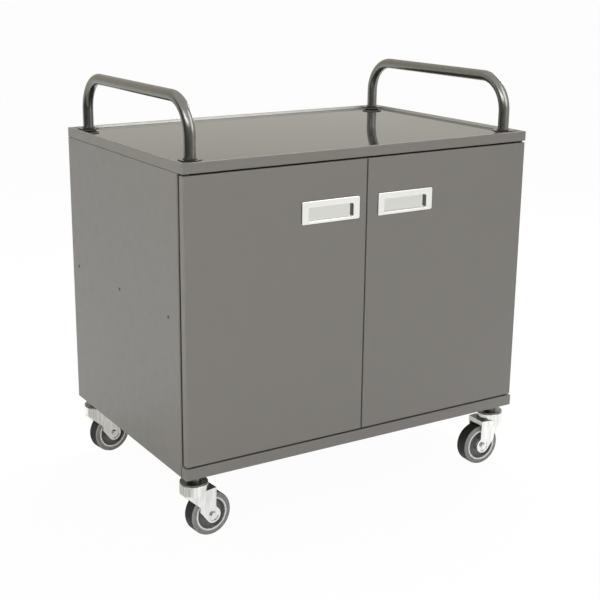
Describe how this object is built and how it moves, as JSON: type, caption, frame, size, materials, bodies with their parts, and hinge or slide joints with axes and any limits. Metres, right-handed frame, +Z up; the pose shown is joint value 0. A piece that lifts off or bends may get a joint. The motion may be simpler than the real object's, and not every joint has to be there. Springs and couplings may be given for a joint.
{
  "type": "enclosed serving trolley",
  "caption": "Closed metal cabinet trolley on swivel casters, with hinged double doors, flush pulls, an inner shelf, a recessed top panel and arched push handles at both ends.",
  "frame": {"origin": "on the floor under the middle of the cabinet", "axes": "+X to the right facing the doors, +Y from the doors to the back, +Z up"},
  "size_m": [0.9016, 0.6031, 0.9635],
  "materials": {
    "body_paint": "satin powder coat",
    "edge_trim": "satin extrusion",
    "top_panel": "polished",
    "handle_paint": "metallic grey gloss",
    "pull_metal": "satin chrome",
    "zinc": "bright zinc plate",
    "dark_zinc": "dark zinc plate",
    "gloss_black": "polished",
    "steel": "zinc plate",
    "dark_screw": "black oxide",
    "nylon": "moulded",
    "black_plastic": "moulded",
    "wheel_core": "moulded",
    "wheel_trim": "moulded",
    "tyre": "smooth grey rubber"
  },
  "bodies": {
    "cabinet": {"top_cap": "body_paint", "top_trim": "edge_trim", "top_insert": "top_panel", "left_side_panel": "body_paint", "right_side_panel": "body_paint", "back_panel": "body_paint", "back_panel_rivets": "body_paint", "base_pan": "body_paint", "left_caster_rail": "steel", "right_caster_rail": "steel", "middle_shelf": "body_paint", "shelf_screws": "dark_screw", "shelf_rivet_nuts": "steel", "left_handle": "handle_paint", "right_handle": "handle_paint", "handle_collars": "gloss_black", "handle_plugs": "steel", "handle_bolts": "steel", "upper_hinge_pins": "steel", "lower_hinge_pins": "steel", "hinge_washers": "black_plastic", "left_magnet_catch": "black_plastic", "right_magnet_catch": "black_plastic", "caster_heads": "dark_zinc", "caster_king_bolts": "steel", "caster_king_nuts": "steel"},
    "left_door": {"left_door_skin": "body_paint", "left_door_liner": "body_paint", "left_pull": "pull_metal", "left_pull_clips": "steel", "left_hinge_bushes": "nylon", "left_strike_plate": "steel"},
    "right_door": {"right_door_skin": "body_paint", "right_door_liner": "body_paint", "right_pull": "pull_metal", "right_pull_clips": "steel", "right_hinge_bushes": "nylon", "right_strike_plate": "steel"},
    "front_left_fork": {"front_left_fork": "zinc", "front_left_axle": "zinc"},
    "front_left_wheel": {"front_left_wheel_core": "wheel_core", "front_left_wheel_trim": "wheel_trim", "front_left_tyre": "tyre"},
    "front_right_fork": {"front_right_fork": "zinc", "front_right_axle": "zinc"},
    "front_right_wheel": {"front_right_wheel_core": "wheel_core", "front_right_wheel_trim": "wheel_trim", "front_right_tyre": "tyre"},
    "back_left_fork": {"back_left_fork": "zinc", "back_left_axle": "zinc"},
    "back_left_wheel": {"back_left_wheel_core": "wheel_core", "back_left_wheel_trim": "wheel_trim", "back_left_tyre": "tyre"},
    "back_right_fork": {"back_right_fork": "zinc", "back_right_axle": "zinc"},
    "back_right_wheel": {"back_right_wheel_core": "wheel_core", "back_right_wheel_trim": "wheel_trim", "back_right_tyre": "tyre"}
  },
  "joints": [
    {"name": "left_door_hinge", "type": "hinge", "parent": "cabinet", "child": "left_door", "pos_m": [-0.4375, -0.291, 0.49185], "axis": [0, 0, -1], "range_deg": [0, 180]},
    {"name": "right_door_hinge", "type": "hinge", "parent": "cabinet", "child": "right_door", "pos_m": [0.4375, -0.291, 0.49185], "axis": [0, 0, 1], "range_deg": [0, 180]},
    {"name": "front_left_swivel", "type": "hinge", "parent": "cabinet", "child": "front_left_fork", "pos_m": [-0.4155, -0.2655, 0.1272], "axis": [0, 0, 1], "continuous": true},
    {"name": "front_left_spin", "type": "hinge", "parent": "front_left_fork", "child": "front_left_wheel", "pos_m": [-0.38113, -0.26249, 0.05], "axis": [-0.0872, 0.9962, 0], "continuous": true},
    {"name": "front_right_swivel", "type": "hinge", "parent": "cabinet", "child": "front_right_fork", "pos_m": [0.4155, -0.2655, 0.1272], "axis": [0, 0, 1], "continuous": true},
    {"name": "front_right_spin", "type": "hinge", "parent": "front_right_fork", "child": "front_right_wheel", "pos_m": [0.38102, -0.2643, 0.05], "axis": [-0.0349, -0.9994, 0], "continuous": true},
    {"name": "back_left_swivel", "type": "hinge", "parent": "cabinet", "child": "back_left_fork", "pos_m": [-0.4155, 0.2655, 0.1272], "axis": [0, 0, 1], "continuous": true},
    {"name": "back_left_spin", "type": "hinge", "parent": "back_left_fork", "child": "back_left_wheel", "pos_m": [-0.38143, 0.2709, 0.05], "axis": [-0.1564, 0.9877, 0], "continuous": true},
    {"name": "back_right_swivel", "type": "hinge", "parent": "cabinet", "child": "back_right_fork", "pos_m": [0.4155, 0.2655, 0.1272], "axis": [0, 0, 1], "continuous": true},
    {"name": "back_right_spin", "type": "hinge", "parent": "back_right_fork", "child": "back_right_wheel", "pos_m": [0.381, 0.2655, 0.05], "axis": [0, -1, 0], "continuous": true}
  ]
}
